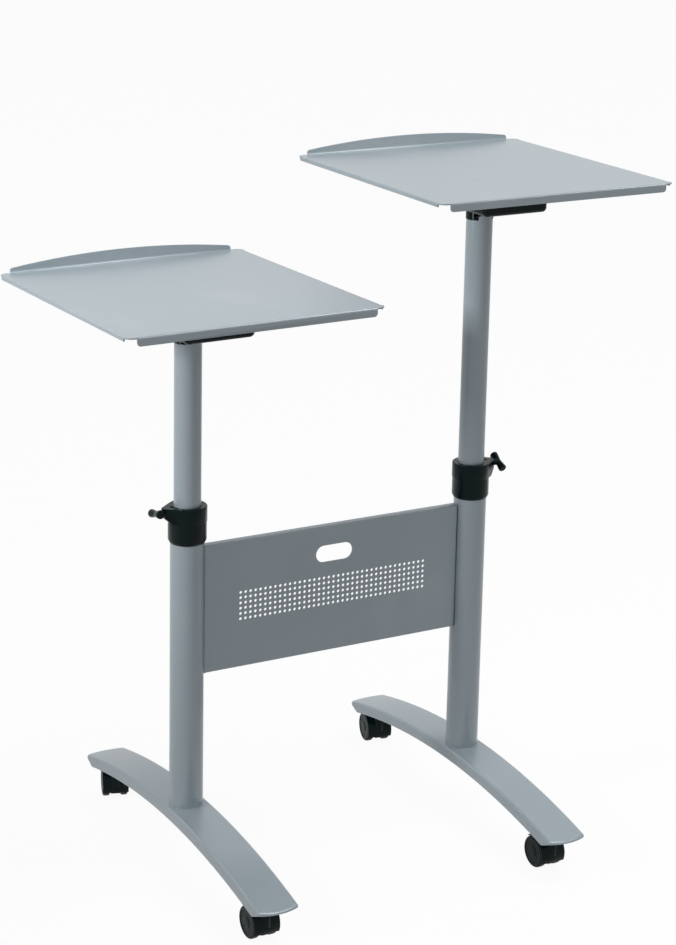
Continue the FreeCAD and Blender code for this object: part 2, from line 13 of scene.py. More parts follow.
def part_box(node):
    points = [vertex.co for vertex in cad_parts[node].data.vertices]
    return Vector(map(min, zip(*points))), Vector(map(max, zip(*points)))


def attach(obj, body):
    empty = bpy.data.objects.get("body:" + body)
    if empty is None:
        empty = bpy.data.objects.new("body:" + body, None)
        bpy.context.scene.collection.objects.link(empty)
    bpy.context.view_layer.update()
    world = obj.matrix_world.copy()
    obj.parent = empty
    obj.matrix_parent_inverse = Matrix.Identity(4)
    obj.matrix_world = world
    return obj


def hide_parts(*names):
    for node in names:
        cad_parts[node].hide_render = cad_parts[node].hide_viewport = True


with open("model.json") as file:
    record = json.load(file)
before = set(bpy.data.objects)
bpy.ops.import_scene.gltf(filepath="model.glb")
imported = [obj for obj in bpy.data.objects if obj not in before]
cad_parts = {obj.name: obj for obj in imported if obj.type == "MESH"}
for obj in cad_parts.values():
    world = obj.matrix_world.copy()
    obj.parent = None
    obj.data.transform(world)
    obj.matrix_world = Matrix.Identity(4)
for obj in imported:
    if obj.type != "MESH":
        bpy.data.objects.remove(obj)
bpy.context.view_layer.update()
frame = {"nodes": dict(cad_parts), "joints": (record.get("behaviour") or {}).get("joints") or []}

# Looks of the rolling projector cart, in metres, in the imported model's frame.
# -Y is the front, +Z is up.

LOG = logging.getLogger("projector_cart")

FULL_TURN = 2 * math.pi
SHARP_ANGLE = math.radians(34)
SAME_PLACE = 1e-6
SOFT_STEPS = 2
INWARDS = -1.0
MIDDLE = 0.5
UP = Vector((0, 0, 1))

Colour = tuple[float, float, float, float]
Triple = tuple[float, float, float]
Pair = tuple[float, float]
Feed = Union["Wire", float, str, Sequence[float]]
Settings = Mapping[str, Any]
Sockets = Mapping[Union[str, int], Feed]

WHITE: Colour = (1.0, 1.0, 1.0, 1.0)

# Places of the colour sockets on a Mix node
MIX_FIRST = 6
MIX_SECOND = 7
MIX_RESULT = 2


class Place(Enum):
    """A place on the cart that the names of nodes and bodies tell."""

    @property
    def label(self) -> str:
        """Word for the place in those names."""
        return self.name.lower()


class Side(Place):
    """The two columns of the cart, or the two wheels of a caster, by their sign."""

    LEFT = -1
    RIGHT = 1


class End(Place):
    """The two ends of a foot."""

    FRONT = -1
    BACK = 1


class Slot(Enum):
    """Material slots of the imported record."""

    PAINT = "silver_paint"
    MOULDING = "black_plastic"
    TREAD = "wheel_plastic"
    GLIDE = "grey_plastic"
    BLACK_STEEL = "black_steel"
    ZINC = "steel"


BAR_ANGLES: dict[Side, float] = {Side.LEFT: -12.0, Side.RIGHT: 29.0}


@dataclass(frozen=True)
class Wire:
    """An output socket of a node tree. Arithmetic on it adds Math nodes to the same tree."""

    recipe: "Recipe"
    socket: bpy.types.NodeSocket

    def _math(self, operation: str, first: Feed, second: Feed) -> "Wire":
        """Add one Math node and hand back its result."""
        return self.recipe.add("ShaderNodeMath", {"operation": operation}, {0: first, 1: second})

    def __add__(self, other: Feed) -> "Wire":
        """This value plus another."""
        return self._math("ADD", self, other)

    def __radd__(self, other: Feed) -> "Wire":
        """Another value plus this one."""
        return self._math("ADD", other, self)

    def __sub__(self, other: Feed) -> "Wire":
        """This value less another."""
        return self._math("SUBTRACT", self, other)

    def __rsub__(self, other: Feed) -> "Wire":
        """Another value less this one."""
        return self._math("SUBTRACT", other, self)

    def __mul__(self, other: Feed) -> "Wire":
        """This value times another."""
        return self._math("MULTIPLY", self, other)

    def __rmul__(self, other: Feed) -> "Wire":
        """Another value times this one."""
        return self._math("MULTIPLY", other, self)

    def at_most(self, limit: Feed) -> "Wire":
        """The smaller of this value and a limit."""
        return self._math("MINIMUM", self, limit)

    def swing(self, reach: float) -> "Wire":
        """Distance of a noise from its middle, times a reach."""
        return (self - MIDDLE) * reach

    def rise(self, low: float, high: float) -> "Wire":
        """Smooth step from 0 at a low value to 1 at a high one."""
        limits = {"Value": self, "From Min": low, "From Max": high}
        return self.recipe.add("ShaderNodeMapRange", {"interpolation_type": "SMOOTHSTEP"}, limits)


class Recipe:
    """Adds nodes to one node tree and hands back their outputs as wires."""

    def __init__(self, tree: bpy.types.NodeTree) -> None:
        """Start from the emptied tree of a material or a world."""
        self.tree = tree
        self.tree.nodes.clear()

    def node(
        self, kind: str, settings: Optional[Settings] = None, sockets: Optional[Sockets] = None
    ) -> bpy.types.Node:
        """Make a node of any type.

        Args:
            kind: Blender's name of the node type.
            settings: Properties of the node, set before its sockets.
            sockets: Values or wires of its inputs, by name or place.

        Returns:
            The node.
        """
        node = self.tree.nodes.new(kind)
        for name, value in (settings or {}).items():
            setattr(node, name, value)
        for key, value in (sockets or {}).items():
            if isinstance(value, Wire):
                self.tree.links.new(value.socket, node.inputs[key])
            else:
                node.inputs[key].default_value = value
        return node

    def add(
        self,
        kind: str,
        settings: Optional[Settings] = None,
        sockets: Optional[Sockets] = None,
        output: Union[str, int] = 0,
    ) -> Wire:
        """Make a node and take one of its outputs, by name or place."""
        return Wire(self, self.node(kind, settings, sockets).outputs[output])

    def place(self) -> Wire:
        """Position on the piece, in metres."""
        return self.add("ShaderNodeTexCoord", output="Object")

    def stretched(self, place: Wire, scale: Sequence[float]) -> Wire:
        """Position with its three parts multiplied."""
        return self.add("ShaderNodeVectorMath", {"operation": "MULTIPLY"}, {0: place, 1: scale})

    def noise(
        self, place: Wire, per_metre: float, octaves: float = 2.0, twist: float = 0.0
    ) -> Wire:
        """Cloudy value between 0 and 1, with a number of features in a metre."""
        sockets = {"Vector": place, "Scale": per_metre, "Detail": octaves, "Distortion": twist}
        return self.add("ShaderNodeTexNoise", {}, sockets)

    def grains(self, place: Wire, per_metre: float) -> Wire:
        """A random value between 0 and 1 for each small cell of the surface.

        Args:
            place: Position to read it at.
            per_metre: Number of cells in a metre.

        Returns:
            The cell's value.
        """
        cells = {"Vector": place, "Scale": per_metre}
        colour = self.add("ShaderNodeTexVoronoi", {}, cells, "Color")
        return self.add("ShaderNodeSeparateColor", {}, {0: colour})

    def tint(self, share: Feed, first: Feed, second: Feed) -> Wire:
        """Mix of two colours, by the share of the second."""
        colours = {0: share, MIX_FIRST: first, MIX_SECOND: second}
        return self.add("ShaderNodeMix", {"data_type": "RGBA"}, colours, MIX_RESULT)

    def relief(self, height: Wire, depth: float) -> Wire:
        """Surface normal of a relief whose height of 1 stands for a depth in metres."""
        return self.add("ShaderNodeBump", {}, {"Height": height, "Distance": depth})

    def surface(self, sockets: Sockets) -> None:
        """End a material with a Principled shader."""
        self.close("ShaderNodeOutputMaterial", self.add("ShaderNodeBsdfPrincipled", {}, sockets))

    def close(self, kind: str, shader: Wire) -> None:
        """Link a shader to the tree's output node."""
        self.node(kind, {}, {"Surface": shader})


def new_recipe(name: str) -> tuple[bpy.types.Material, Recipe]:
    """Make an empty material.

    Args:
        name: Name of the material.

    Returns:
        The material and the recipe that fills it.
    """
    material = bpy.data.materials.new(name)
    material.use_nodes = True
    return material, Recipe(material.node_tree)


class Finish(Protocol):
    """Anything that makes a material."""

    def make(self) -> bpy.types.Material:
        """Build the node material."""


@dataclass(frozen=True)
class SatinPaint:
    """Silver-grey powder coat: metal flake, orange peel, faint rubbed patches and hairlines."""

    name: str = "satin_silver_paint"
    deep: Colour = (0.320, 0.379, 0.418, 1.0)
    pale: Colour = (0.387, 0.451, 0.493, 1.0)
    rubbed: Colour = (0.450, 0.495, 0.525, 1.0)
    metallic: float = 0.16
    roughness: float = 0.32
    coat: float = 0.06
    coat_roughness: float = 0.18
    flakes_per_metre: float = 1500.0
    flake_share: float = 0.35
    flake_swing: float = 0.05
    clouds_per_metre: float = 7.0
    cloud_octaves: float = 4.0
    cloud_swing: float = 0.10
    rub_band: Pair = (0.56, 0.70)
    rub_share: float = 0.25
    peel_per_metre: float = 520.0
    peel_depth: float = 0.00003
    hairline_stretch: Triple = (4.0, 90.0, 90.0)
    hairline_octaves: float = 6.0
    hairline_twist: float = 0.6
    hairline_band: Pair = (0.66, 0.70)
    hairline_share: float = 0.18
    hairline_swing: float = 0.06

    def make(self) -> bpy.types.Material:
        """Build the node material.

        Returns:
            The finished material.
        """
        material, recipe = new_recipe(self.name)
        place = recipe.place()
        flake = recipe.grains(place, self.flakes_per_metre)
        clouds = recipe.noise(place, self.clouds_per_metre, self.cloud_octaves)
        peel = recipe.noise(place, self.peel_per_metre)
        streaks = recipe.stretched(place, self.hairline_stretch)
        hairs = recipe.noise(streaks, 1.0, self.hairline_octaves, self.hairline_twist)
        hairline = hairs.rise(*self.hairline_band)
        rubbing = clouds.rise(*self.rub_band)
        mottle = flake * self.flake_share + clouds * (1 - self.flake_share)
        wear = rubbing * self.rub_share + hairline * self.hairline_share
        gloss = clouds.swing(self.cloud_swing) + flake.swing(self.flake_swing)
        base = recipe.tint(mottle, self.deep, self.pale)
        recipe.surface({
            "Base Color": recipe.tint(wear, base, self.rubbed),
            "Metallic": self.metallic,
            "Roughness": self.roughness + gloss + hairline * self.hairline_swing,
            "Coat Weight": self.coat,
            "Coat Roughness": self.coat_roughness,
            "Normal": recipe.relief(peel, self.peel_depth),
        })
        return material


@dataclass(frozen=True)
class BlackMoulding:
    """Black moulded nylon with a fine spark-eroded grain and slightly polished patches."""

    name: str = "black_moulding"
    deep: Colour = (0.0005, 0.0065, 0.0071, 1.0)
    pale: Colour = (0.0016, 0.0128, 0.0138, 1.0)
    roughness: float = 0.24
    specular: float = 0.10
    octaves: float = 3.0
    grain_per_metre: float = 1700.0
    grain_depth: float = 0.00005
    grain_share: float = 0.6
    grain_swing: float = 0.18
    patches_per_metre: float = 26.0
    polished_band: Pair = (0.52, 0.72)
    polish: float = 0.08

    def make(self) -> bpy.types.Material:
        """Build the node material.

        Returns:
            The finished material.
        """
        material, recipe = new_recipe(self.name)
        place = recipe.place()
        grain = recipe.noise(place, self.grain_per_metre, self.octaves)
        patches = recipe.noise(place, self.patches_per_metre, self.octaves)
        polished = patches.rise(*self.polished_band)
        mottle = grain * self.grain_share + patches * (1 - self.grain_share)
        recipe.surface({
            "Base Color": recipe.tint(mottle, self.deep, self.pale),
            "Roughness": self.roughness + grain.swing(self.grain_swing) - polished * self.polish,
            "Specular IOR Level": self.specular,
            "Normal": recipe.relief(grain, self.grain_depth),
        })
        return material


@dataclass(frozen=True)
class WheelPlastic:
    """Hard black wheel plastic, greyed in spots by a film of dust."""

    name: str = "wheel_plastic"
    deep: Colour = (0.0004, 0.0050, 0.0058, 1.0)
    pale: Colour = (0.0013, 0.0105, 0.0117, 1.0)
    dust: Colour = (0.018, 0.032, 0.034, 1.0)
    roughness: float = 0.30
    specular: float = 0.07
    specks_per_metre: float = 900.0
    speck_octaves: float = 3.0
    speck_depth: float = 0.00004
    speck_swing: float = 0.10
    dust_per_metre: float = 120.0
    dust_octaves: float = 5.0
    dust_band: Pair = (0.52, 0.78)
    dust_share: float = 0.12
    dust_roughness: float = 0.22

    def make(self) -> bpy.types.Material:
        """Build the node material.

        Returns:
            The finished material.
        """
        material, recipe = new_recipe(self.name)
        place = recipe.place()
        specks = recipe.noise(place, self.specks_per_metre, self.speck_octaves)
        film = recipe.noise(place, self.dust_per_metre, self.dust_octaves).rise(*self.dust_band)
        base = recipe.tint(specks, self.deep, self.pale)
        gloss = film * self.dust_roughness + specks.swing(self.speck_swing)
        recipe.surface({
            "Base Color": recipe.tint(film * self.dust_share, base, self.dust),
            "Roughness": self.roughness + gloss,
            "Specular IOR Level": self.specular,
            "Normal": recipe.relief(specks, self.speck_depth),
        })
        return material


@dataclass(frozen=True)
class PlainMoulding:
    """Light grey glide plastic with a faint grain and sliding marks along its length."""

    name: str = "grey_glide_plastic"
    deep: Colour = (0.27, 0.28, 0.28, 1.0)
    pale: Colour = (0.36, 0.37, 0.37, 1.0)
    roughness: float = 0.46
    grain_per_metre: float = 1200.0
    grain_depth: float = 0.00004
    marks_stretch: Triple = (500.0, 500.0, 12.0)
    marks_octaves: float = 3.0
    marks_share: float = 0.7
    marks_swing: float = 0.2

    def make(self) -> bpy.types.Material:
        """Build the node material.

        Returns:
            The finished material.
        """
        material, recipe = new_recipe(self.name)
        place = recipe.place()
        grain = recipe.noise(place, self.grain_per_metre)
        marks = recipe.noise(recipe.stretched(place, self.marks_stretch), 1.0, self.marks_octaves)
        mottle = marks * self.marks_share + grain * (1 - self.marks_share)
        recipe.surface({
            "Base Color": recipe.tint(mottle, self.deep, self.pale),
            "Roughness": self.roughness + marks.swing(self.marks_swing),
            "Normal": recipe.relief(grain, self.grain_depth),
        })
        return material


@dataclass(frozen=True)
class TurnedSteel:
    """Plated or blackened steel with fine machining lines round its axis."""

    name: str
    deep: Colour
    pale: Colour
    roughness: float
    lines_stretch: Triple = (2600.0, 160.0, 160.0)
    lines_octaves: float = 3.0
    lines_share: float = 0.5
    lines_swing: float = 0.1
    lines_depth: float = 0.00003
    stains_per_metre: float = 90.0
    stain_octaves: float = 4.0
    stain_swing: float = 0.25

    def make(self) -> bpy.types.Material:
        """Build the node material.

        Returns:
            The finished material.
        """
        material, recipe = new_recipe(self.name)
        place = recipe.place()
        lines = recipe.noise(recipe.stretched(place, self.lines_stretch), 1.0, self.lines_octaves)
        stain = recipe.noise(place, self.stains_per_metre, self.stain_octaves)
        mottle = lines * self.lines_share + stain * (1 - self.lines_share)
        gloss = stain.swing(self.stain_swing) + lines.swing(self.lines_swing)
        recipe.surface({
            "Base Color": recipe.tint(mottle, self.deep, self.pale),
            "Metallic": 1.0,
            "Roughness": self.roughness + gloss,
            "Normal": recipe.relief(lines, self.lines_depth),
        })
        return material


class FinishShelf:
    """One material for each of the record's slots."""

    def __init__(self) -> None:
        """Make every finish once."""
        makers: dict[Slot, Finish] = {
            Slot.PAINT: SatinPaint(),
            Slot.MOULDING: BlackMoulding(),
            Slot.TREAD: WheelPlastic(),
            Slot.GLIDE: PlainMoulding(),
            Slot.BLACK_STEEL: TurnedSteel(
                name="blackened_steel",
                deep=(0.03, 0.03, 0.032, 1.0),
                pale=(0.075, 0.075, 0.08, 1.0),
                roughness=0.42,
            ),
            Slot.ZINC: TurnedSteel(
                name="zinc_plated_steel",
                deep=(0.50, 0.51, 0.52, 1.0),
                pale=(0.68, 0.69, 0.70, 1.0),
                roughness=0.32,
            ),
        }
        self.materials = {slot: maker.make() for slot, maker in makers.items()}

    def dress_node(self, node: str, slot: Slot, edge_radius: float = 0.0) -> None:
        """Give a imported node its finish, and soften its sharp edges.

        Args:
            node: Name of the node.
            slot: Finish to give it.
            edge_radius: Radius of the softened edges, or 0 for none.
        """
        piece = frame["nodes"][node]
        for holder in piece.material_slots:
            holder.material = self.materials[slot]
        if edge_radius > 0:
            weld = piece.modifiers.new("joined_faces", "WELD")
            weld.merge_threshold = SAME_PLACE
            soften(piece, edge_radius)
        LOG.info("dressed %s in %s", node, slot.value)

    def dress_piece(
        self, piece: bpy.types.Object, body: str, slot: Slot, stands_for: Iterable[str] = ()
    ) -> None:
        """Give a new piece its finish and its place in the cart.

        Args:
            piece: Piece to dress.
            body: Body that it moves with.
            slot: Finish to give it.
            stands_for: Nodes that it replaces.
        """
        piece.data.materials.clear()
        piece.data.materials.append(self.materials[slot])
        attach(piece, body)
        for node in stands_for:
            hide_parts(node)
        LOG.info("made %s for %s", piece.name, body)


def soften(piece: bpy.types.Object, radius: float) -> None:
    """Round the sharp edges of a piece with a modifier.

    Args:
        piece: Piece to soften.
        radius: Radius of the rounding.
    """
    bevel = piece.modifiers.new("soft_edges", "BEVEL")
    bevel.width = radius
    bevel.segments = SOFT_STEPS
    bevel.limit_method = "ANGLE"
    bevel.angle_limit = SHARP_ANGLE
    bevel.harden_normals = True


def piece_from(name: str, builder: bmesh.types.BMesh) -> bpy.types.Object:
    """Make a smooth-shaded object from a built mesh.

    Args:
        name: Name of the piece.
        builder: Mesh to use, which is freed.

    Returns:
        The new object.
    """
    mesh = bpy.data.meshes.new(name)
    builder.to_mesh(mesh)
    builder.free()
    piece = bpy.data.objects.new(name, mesh)
    bpy.context.scene.collection.objects.link(piece)
    shade(piece)
    return piece


def shade(piece: bpy.types.Object) -> None:
    """Shade a piece smooth, apart from its sharp edges.

    Args:
        piece: Piece to shade.
    """
    mesh = piece.data
    mesh.polygons.foreach_set("use_smooth", [True] * len(mesh.polygons))
    mesh.set_sharp_from_angle(angle=SHARP_ANGLE)


def settle(piece: bpy.types.Object) -> None:
    """Apply all modifiers of a piece and shade the result.

    Args:
        piece: Piece to settle.
    """
    bpy.context.view_layer.update()
    seen = piece.evaluated_get(bpy.context.evaluated_depsgraph_get())
    mesh = bpy.data.meshes.new_from_object(seen)
    old = piece.data
    piece.modifiers.clear()
    piece.data = mesh
    mesh.name = piece.name
    bpy.data.meshes.remove(old)
    shade(piece)


def axis_frame(origin: Vector, axis: Vector, side: Vector) -> Matrix:
    """Frame whose X runs along an axis.

    Args:
        origin: Origin of the frame.
        axis: Direction of its X.
        side: Direction near its Z.

    Returns:
        The frame's matrix.
    """
    x = axis.normalized()
    y = side.cross(x).normalized()
    z = x.cross(y)
    return Matrix.Translation(origin) @ Matrix((x, y, z)).transposed().to_4x4()


def add_turned(
    builder: bmesh.types.BMesh, profile: Sequence[Pair], place: Matrix, steps: int
) -> None:
    """Add a closed turned form.

    Args:
        builder: Mesh to add to.
        profile: Distances along the X axis with radii, from one end to the other.
        place: Frame to turn it in.
        steps: Faces round the form.
    """
    rings = []
    for along, radius in profile:
        if radius < SAME_PLACE:
            rings.append([builder.verts.new(place @ Vector((along, 0, 0)))])
            continue
        ring = []
        for step in range(steps):
            angle = FULL_TURN * step / steps
            offset = Vector((along, radius * math.cos(angle), radius * math.sin(angle)))
            ring.append(builder.verts.new(place @ offset))
        rings.append(ring)
    for lower, upper in zip(rings, rings[1:]):
        for step in range(steps):
            after = (step + 1) % steps
            corners = [lower[step % len(lower)], lower[after % len(lower)]]
            corners += [upper[after % len(upper)], upper[step % len(upper)]]
            builder.faces.new(list(dict.fromkeys(corners)))


def arc_points(centre: Pair, radius: float, start: float, end: float, steps: int) -> list[Pair]:
    """Points along a circular arc of a profile.

    Args:
        centre: Centre of the arc.
        radius: Its radius.
        start: Angle of its first point, in degrees.
        end: Angle of its last point, in degrees.
        steps: Number of runs between the points.

    Returns:
        The points, ends included.
    """
    points = []
    for step in range(steps + 1):
        angle = math.radians(start + (end - start) * step / steps)
        x = centre[0] + radius * math.cos(angle)
        y = centre[1] + radius * math.sin(angle)
        points.append((x, y))
    return points


def joint_named(name: str) -> dict[str, Any]:
    """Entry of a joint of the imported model."""
    return next(joint for joint in frame["joints"] if joint["name"] == name)


@dataclass
class ModestyPanel:
    """Folded tray between the columns, with a hand slot and a field of round holes."""

    finishes: FinishShelf
    node: str = "modesty_panel"
    sheet: float = 0.0015
    bend_radius: float = 0.002
    bend_steps: int = 6
    slot_length: float = 0.062
    slot_width: float = 0.026
    slot_above_bottom: float = 0.155
    slot_steps: int = 20
    field_above_bottom: float = 0.096
    columns: int = 39
    rows: int = 6
    pitch: float = 0.00825
    hole_diameter: float = 0.0045
    hole_sides: int = 18

    def build(self) -> bpy.types.Object:
        """Make the tray's mesh.

        Returns:
            The panel.
        """
        low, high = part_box(self.node)
        builder = bmesh.new()
        self._add_face(builder, low, high)
        self._add_flanges(builder, low, high)
        bmesh.ops.remove_doubles(builder, verts=builder.verts, dist=SAME_PLACE)
        bmesh.ops.recalc_face_normals(builder, faces=builder.faces)
        front = max(builder.faces, key=lambda face: abs(face.normal.y))
        if front.normal.y > 0:
            bmesh.ops.reverse_faces(builder, faces=builder.faces)
        panel = piece_from("folded_panel", builder)
        thick = panel.modifiers.new("sheet", "SOLIDIFY")
        thick.thickness = self.sheet
        thick.offset = INWARDS
        thick.use_even_offset = True
        settle(panel)
        return panel

    def _add_face(self, builder: bmesh.types.BMesh, low: Vector, high: Vector) -> None:
        """Fill the flat front round its openings.

        Args:
            builder: Mesh to add to.
            low: Lowest corner of the panel.
            high: Highest corner of the panel.
        """
        inset = self.bend_radius
        outline = [(low.x + inset, low.z + inset), (high.x - inset, low.z + inset)]
        outline += [(high.x - inset, high.z - inset), (low.x + inset, high.z - inset)]
        loops = [outline, self._slot_loop(low)]
        radius = self.hole_diameter / 2
        for column in range(self.columns):
            for row in range(self.rows):
                x = (column - (self.columns - 1) / 2) * self.pitch
                z = low.z + self.field_above_bottom + (row - (self.rows - 1) / 2) * self.pitch
                loops.append(arc_points((x, z), radius, 0, 360, self.hole_sides)[:-1])
        edges = []
        for loop in loops:
            corners = [builder.verts.new((x, low.y, z)) for x, z in loop]
            ends = zip(corners, corners[1:] + corners[:1])
            edges += [builder.edges.new(pair) for pair in ends]
        bmesh.ops.triangle_fill(builder, use_beauty=True, edges=edges)

    def _slot_loop(self, low: Vector) -> list[Pair]:
        """Outline of the hand slot.

        Args:
            low: Lowest corner of the panel.

        Returns:
            Points of a shape with straight sides and half-round ends.
        """
        radius = self.slot_width / 2
        half = self.slot_length / 2 - radius
        z = low.z + self.slot_above_bottom
        right = arc_points((half, z), radius, -90, 90, self.slot_steps)
        left = arc_points((-half, z), radius, 90, 270, self.slot_steps)
        return right + left

    def _add_flanges(self, builder: bmesh.types.BMesh, low: Vector, high: Vector) -> None:
        """Bend the four edges back.

        Args:
            builder: Mesh to add to.
            low: Lowest corner of the panel.
            high: Highest corner of the panel.
        """
        r = self.bend_radius
        across = [low.x + r, high.x - r]
        upright = [low.z, low.z + r, high.z - r, high.z]
        for out, stations, fixed in (
            (Vector((0, 0, 1)), across, high.z),
            (Vector((0, 0, -1)), across, low.z),
            (Vector((1, 0, 0)), upright, high.x),
            (Vector((-1, 0, 0)), upright, low.x),
        ):
            rows = []
            for station in stations:
                along = Vector((station, 0, 0)) if out.z else Vector((0, 0, station))
                rim = along + Vector((abs(out.x) * fixed, low.y, abs(out.z) * fixed))
                row = []
                for x, y in arc_points((0, 0), r, -90, 0, self.bend_steps):
                    row.append(builder.verts.new(rim + out * (x - r) + Vector((0, y + r, 0))))
                row.append(builder.verts.new(rim + Vector((0, high.y - low.y, 0))))
                rows.append(row)
            for first, second in zip(rows, rows[1:]):
                for i in range(len(first) - 1):
                    builder.faces.new((first[i], second[i], second[i + 1], first[i + 1]))

    def dress(self, panel: bpy.types.Object) -> None:
        """Paint the panel and let it stand for its node."""
        self.finishes.dress_piece(panel, "frame", Slot.PAINT, [self.node])


@dataclass
class SidePart:
    """A sub-assembly of one side of the cart."""

    finishes: FinishShelf
    side: Side

    def named(self, word: str) -> str:
        """Full name of one of this side's nodes, bodies, joints or pieces."""
        return self.side.label + "_" + word


@dataclass
class Foot(SidePart):
    """Arched channel foot, with the fillet weld where its column stands on it."""

    arch_radius: float = 1.236
    bead_radius: float = 0.0008
    bead_steps: int = 120
    bead_sides: int = 8
    ripple: float = 0.04
    ripples: int = 34

    def build(self) -> bpy.types.Object:
        """Make the weld bead along the tube's saddle.

        Returns:
            The bead.
        """
        tube_low, tube_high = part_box(self.named("lower_tube"))
        foot_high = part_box(self.named("foot"))[1]
        centre = (tube_low + tube_high) / 2
        tube_radius = (tube_high.x - tube_low.x) / 2
        arch_z = foot_high.z - self.arch_radius
        builder = bmesh.new()
        rings = []
        for step in range(self.bead_steps):
            angle = FULL_TURN * step / self.bead_steps
            out = Vector((math.cos(angle), math.sin(angle), 0))
            spot = Vector((centre.x, centre.y, 0)) + out * tube_radius
            spot.z = arch_z + math.sqrt(self.arch_radius ** 2 - spot.y ** 2)
            size = self.bead_radius * (1 + self.ripple * math.sin(angle * self.ripples))
            ring = []
            for facet in range(self.bead_sides):
                turn = FULL_TURN * facet / self.bead_sides
                offset = (out * math.cos(turn) + UP * math.sin(turn)) * size
                ring.append(builder.verts.new(spot + offset))
            rings.append(ring)
        for first, second in zip(rings, rings[1:] + rings[:1]):
            for facet in range(self.bead_sides):
                after = (facet + 1) % self.bead_sides
                builder.faces.new((first[facet], second[facet], second[after], first[after]))
        bmesh.ops.recalc_face_normals(builder, faces=builder.faces)
        return piece_from(self.named("foot_weld"), builder)

    def dress(self, bead: bpy.types.Object) -> None:
        """Paint the foot and its bead."""
        self.finishes.dress_node(self.named("foot"), Slot.PAINT)
        self.finishes.dress_piece(bead, "frame", Slot.PAINT)


@dataclass
class Column(SidePart):
    """Telescoping tubes with the plug that guides the upper one."""

    def dress(self) -> None:
        """Paint both tubes and dress the plug."""
        self.finishes.dress_node(self.named("lower_tube"), Slot.PAINT)
        self.finishes.dress_node(self.named("upper_tube"), Slot.PAINT)
        self.finishes.dress_node(self.named("tube_glide"), Slot.GLIDE)


@dataclass
class Clamp(SidePart):
    """Moulded collar and its wing screw, whose bar is turned from the level by an angle."""

    bar_angle: float
    shank_radius: float = 0.003
    shank_sides: int = 32
    hub_radius: float = 0.005
    hub_taper: float = 0.92
    hub_gap: float = 0.0008
    hub_length: float = 0.010
    bar_span: float = 0.033
    bar_end_radius: float = 0.00625
    bar_waist_radius: float = 0.0044
    bar_chamfer: float = 0.0014
    wing_start: float = 0.62
    wing_taper: float = 0.93
    round_sides: int = 40
    voxel: float = 0.00055
    smoothing: int = 4
    smooth_share: float = 0.5
    collar_edge: float = 0.0007

    def build(self) -> bpy.types.Object:
        """Make the wing screw as one moulded form.

        Returns:
            The wing screw.
        """
        joint = joint_named(self.named("clamp"))
        out = Vector(joint["axis"])
        ear_end = Vector(joint["pos_m"])
        low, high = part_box(self.named("clamp_knob"))
        inner_x = high.x if self.side is Side.LEFT else low.x
        start = -abs(inner_x - ear_end.x)
        gap = self.hub_gap
        end = gap + self.hub_length
        tilt = math.radians(self.bar_angle)
        along = Vector((0, math.cos(tilt), math.sin(tilt)))
        screw = axis_frame(ear_end, out, UP)
        builder = bmesh.new()
        shank = [(start, 0), (start, self.shank_radius), (end, self.shank_radius), (end, 0)]
        add_turned(builder, shank, screw, self.shank_sides)
        hub_end = self.hub_radius * self.hub_taper
        hub = [(gap, 0), (gap, self.hub_radius), (end, hub_end), (end, 0)]
        add_turned(builder, hub, screw, self.round_sides)
        bar_place = axis_frame(ear_end + out * end, along, out)
        add_turned(builder, self._bar_profile(), bar_place, self.round_sides)
        bmesh.ops.recalc_face_normals(builder, faces=builder.faces)
        knob = piece_from(self.named("wing_screw"), builder)
        remesh = knob.modifiers.new("one_form", "REMESH")
        remesh.mode = "VOXEL"
        remesh.voxel_size = self.voxel
        smooth = knob.modifiers.new("moulded", "SMOOTH")
        smooth.factor = self.smooth_share
        smooth.iterations = self.smoothing
        settle(knob)
        return knob

    def _bar_profile(self) -> list[Pair]:
        """Section of the bar, waisted in the middle and thick at both ends.

        Returns:
            Distances from the bar's middle with radii.
        """
        half = self.bar_span / 2
        wing = [(half, 0), (half, self.bar_end_radius - self.bar_chamfer)]
        wing += [(half - self.bar_chamfer, self.bar_end_radius)]
        wing += [(half * self.wing_start, self.bar_end_radius * self.wing_taper)]
        return [(-a, r) for a, r in wing] + [(0, self.bar_waist_radius)] + wing[::-1]

    def dress(self, knob: bpy.types.Object) -> None:
        """Dress the collar and the wing screw.

        Args:
            knob: The wing screw.
        """
        node = self.named("clamp_knob")
        self.finishes.dress_node(self.named("clamp_collar"), Slot.MOULDING, self.collar_edge)
        self.finishes.dress_piece(knob, self.named("knob"), Slot.MOULDING, [node])


